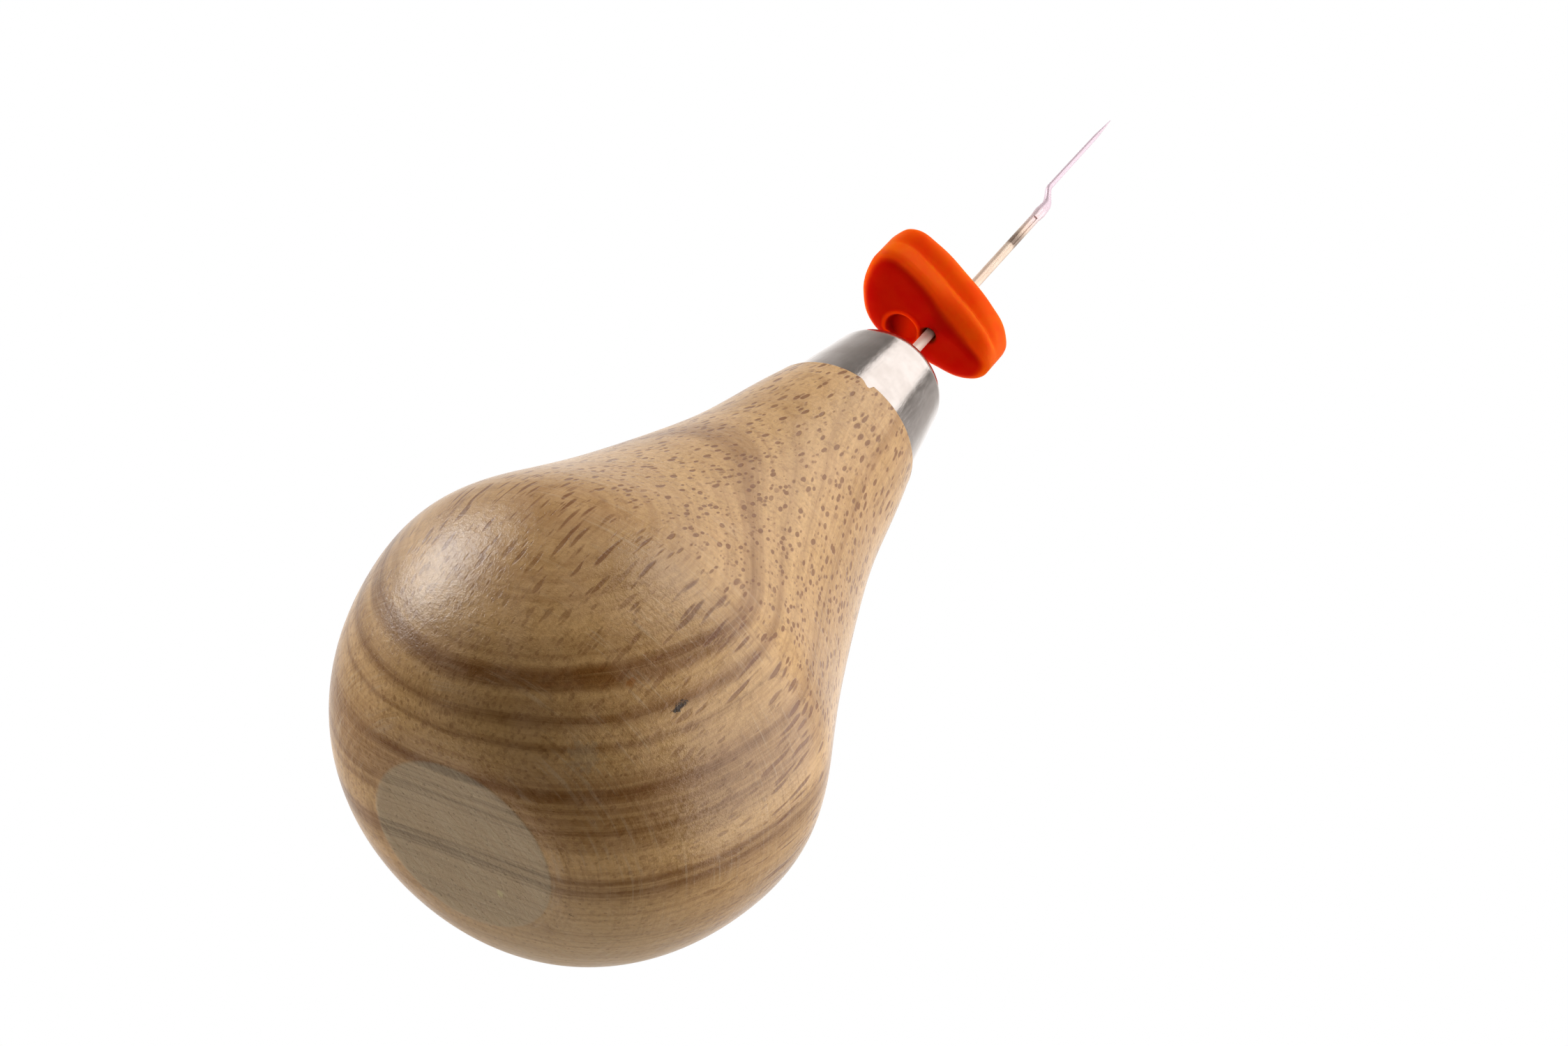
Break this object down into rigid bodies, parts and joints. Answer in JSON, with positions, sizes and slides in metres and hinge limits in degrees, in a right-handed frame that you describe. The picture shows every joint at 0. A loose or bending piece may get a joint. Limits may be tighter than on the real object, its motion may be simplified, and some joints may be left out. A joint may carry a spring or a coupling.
{
  "type": "scratch awl",
  "caption": "Hand awl with a pear-shaped turned wooden handle, a tapered metal ferrule, a thin steel needle with a cranked point and a soft sliding stopper.",
  "frame": {"origin": "middle of the handle's flat butt, which the awl stands on", "axes": "+Z along the needle from the butt to the point; -X is the side that the point is cranked towards; -Y is the groove's side"},
  "size_m": [0.036, 0.036, 0.1051],
  "materials": {
    "handle_wood": "satin lacquered pale hardwood with open brown pores",
    "ferrule_plating": "bright nickel plate, lightly brushed",
    "needle_steel": "drawn steel wire, satin",
    "epoxy": "cured clear-amber epoxy",
    "stopper_plastic": "soft moulded orange plastic, satin, slightly translucent"
  },
  "bodies": {
    "awl": {"handle": "handle_wood", "ferrule": "ferrule_plating", "needle": "needle_steel", "tang_glue": "epoxy"},
    "stopper_pad": {"stopper": "stopper_plastic"}
  },
  "joints": [
    {"name": "stopper_slide", "type": "slide", "parent": "awl", "child": "stopper_pad", "axis": [0, 0, 1], "range_m": [-0.0057, 0.0159]}
  ]
}
